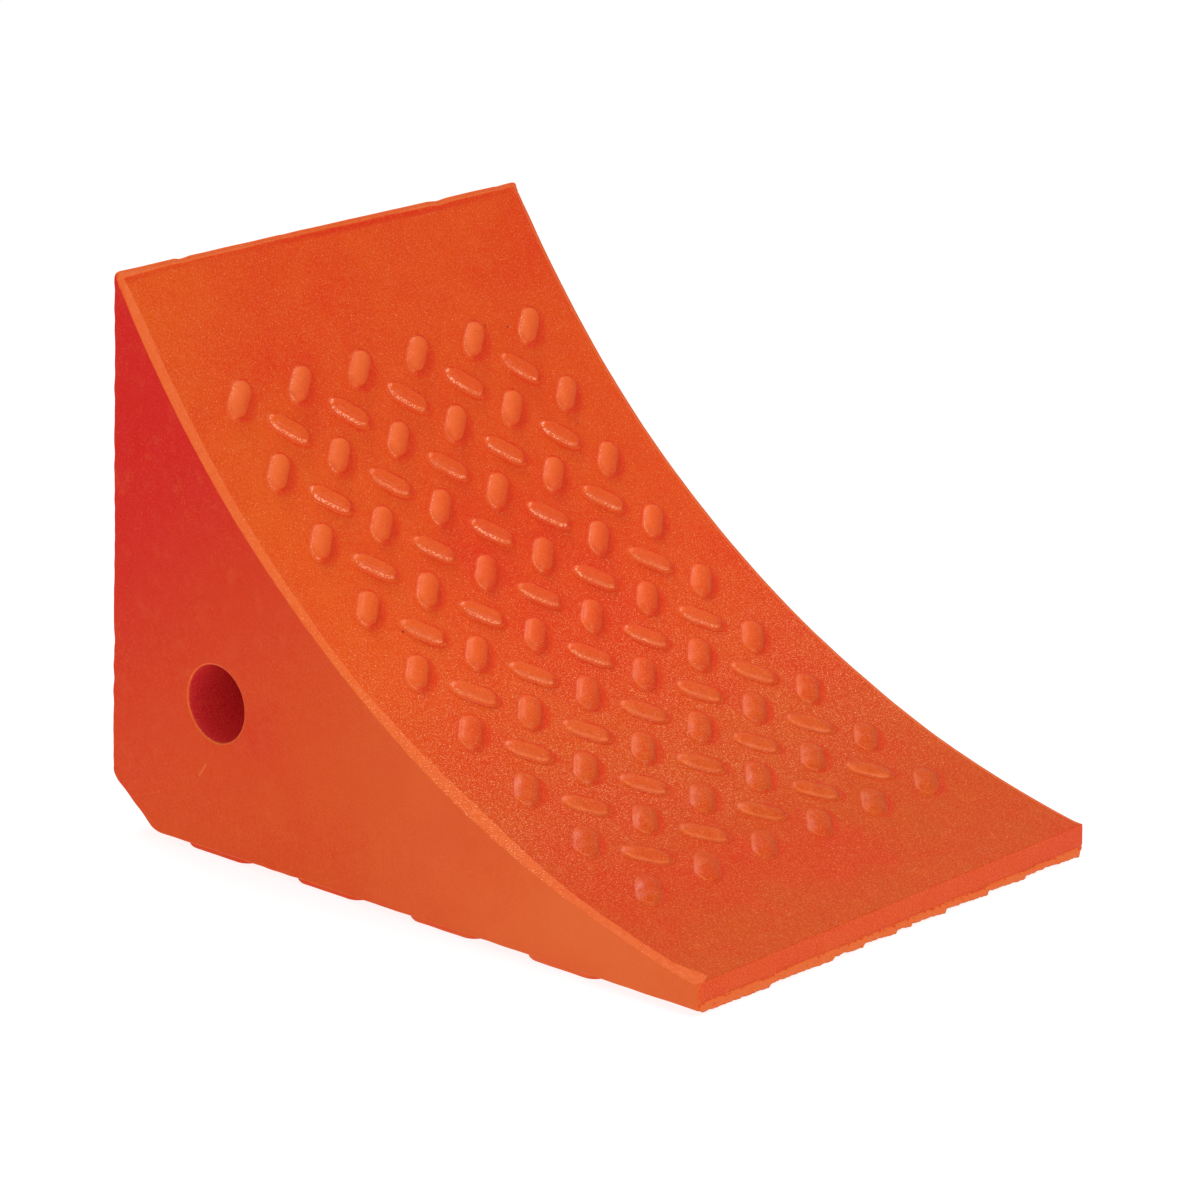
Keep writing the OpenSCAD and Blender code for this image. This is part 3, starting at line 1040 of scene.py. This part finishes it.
def build_lugs():
    """Rows of lugs, more worn and more smeared from the top of the face to the toe."""
    material = urethane("lug_urethane", redness=-0.15, paleness=0.05, sheen_rough=0.40, speckle=0.6,
                        specular=0.14)
    for i in range(1, RISING_ROWS + 1):
        distance = LUG_START + (i - 1) * LUG_PITCH
        wear = LUG_WEAR - WEAR_PER_ROW * i
        top_pallor = 0.62 - 0.055 * i
        smear = 0.85 * smoothstep(4, 9, i)
        shape = lug_row(distance, RISING_COLUMNS, RISING_TURN, wear, rising_tone, top_pallor,
                        0.95 + 0.1 * smear, smear)
        new_piece(f"rising_lugs_{i}", shape, material, f"rising_lug_row_{i}")
    for i in range(1, FALLING_ROWS + 1):
        distance = LUG_START + (i - 0.5) * LUG_PITCH
        wear = LUG_WEAR - WEAR_PER_ROW * i
        top_pallor = 0.14 + 0.05 * i
        smear = 0.85 * smoothstep(4, 9, i + 0.5)
        shape = lug_row(distance, FALLING_COLUMNS, FALLING_TURN, wear, falling_tone, top_pallor,
                        0.89 + 0.15 * smear, smear)
        new_piece(f"falling_lugs_{i}", shape, material, f"falling_lug_row_{i}")


def build_chock():
    new_piece("cast_body", body_mesh(), urethane("cast_urethane"), "chock_body")
    build_lugs()
    # The pads are painted redder, as painted shade under the base
    pad_material = urethane("tread_urethane", redness=0.25, sheen_rough=0.5, speckle=0.0)
    for i in range(1, PAD_ROWS + 1):
        new_piece(f"tread_pads_{i}", pad_row(i), pad_material, f"base_pad_row_{i}")
    lip_material = urethane("trimmed_urethane", paleness=0.95, sheen_rough=0.5, speckle=0.0, grain=4.0,
                            mottle=2.0)
    new_piece("toe_strip", lip_mesh(), lip_material, "toe_lip")


# --------------------------------------------------------------------------------------------------
# Studio
# --------------------------------------------------------------------------------------------------

CAMERA_AZIMUTH = 42.1
CAMERA_ELEVATION = 16.97
CAMERA_DISTANCE = 1.6093
CAMERA_LENS = 142.96
# The camera aims a little off the middle of the chock: to the right, and down
AIM_RIGHT, AIM_UP = 2.0 * MM, -11.9 * MM

centre = (cad_low + cad_high) / 2


def view_axes(azimuth, elevation):
    """(right, up, back) of a camera that looks from an azimuth and an elevation in degrees."""
    a, e = math.radians(azimuth), math.radians(elevation)
    back = Vector((math.sin(a) * math.cos(e), -math.cos(a) * math.cos(e), math.sin(e)))
    right = Vector((math.cos(a), math.sin(a), 0))
    return right, back.cross(right), back


def turned_to(right, up, back, place):
    """The matrix of a camera or light at a place, with its own axes along the given ones."""
    return Matrix.Translation(place) @ Matrix((right, up, back)).transposed().to_4x4()


def add_camera():
    right, up, back = view_axes(CAMERA_AZIMUTH, CAMERA_ELEVATION)
    data = bpy.data.cameras.new("camera")
    data.lens = CAMERA_LENS
    camera = bpy.data.objects.new("camera", data)
    place = centre + CAMERA_DISTANCE * back + AIM_RIGHT * right + AIM_UP * up
    camera.matrix_world = turned_to(right, up, back, place)
    bpy.context.scene.collection.objects.link(camera)
    bpy.context.scene.camera = camera


def add_softbox(name, azimuth, elevation, distance, size, power):
    """A square white area light that faces the chock from an azimuth and an elevation in degrees."""
    right, up, back = view_axes(azimuth, elevation)
    data = bpy.data.lights.new(name, "AREA")
    data.size = size
    data.energy = power
    light = bpy.data.objects.new(name, data)
    light.matrix_world = turned_to(right, up, back, centre + distance * back)
    bpy.context.scene.collection.objects.link(light)


def add_studio():
    size = 12.0
    corners = [(-size, -size, 0), (size, -size, 0), (size, size, 0), (-size, size, 0)]
    mesh = bpy.data.meshes.new("floor")
    mesh.from_pydata(corners, [], [(0, 1, 2, 3)])
    mesh.materials.append(floor_material())
    floor = bpy.data.objects.new("floor", mesh)
    bpy.context.scene.collection.objects.link(floor)

    world = bpy.data.worlds.new("studio")
    world.use_nodes = True
    world.node_tree.nodes["Background"].inputs["Color"].default_value = (1, 1, 1, 1)
    world.node_tree.nodes["Background"].inputs["Strength"].default_value = 0.42
    bpy.context.scene.world = world

    # Azimuth and elevation in degrees, distance and size in metres, and power in watts
    add_softbox("front", 92, 42, 1.8, 0.6, 17)
    add_softbox("rear_left", -104, 54, 1.6, 0.5, 15)
    add_softbox("side_fill", 5, 15, 2.0, 1.2, 11)
    bpy.context.scene.view_settings.view_transform = "Standard"


build_chock()
add_camera()
add_studio()
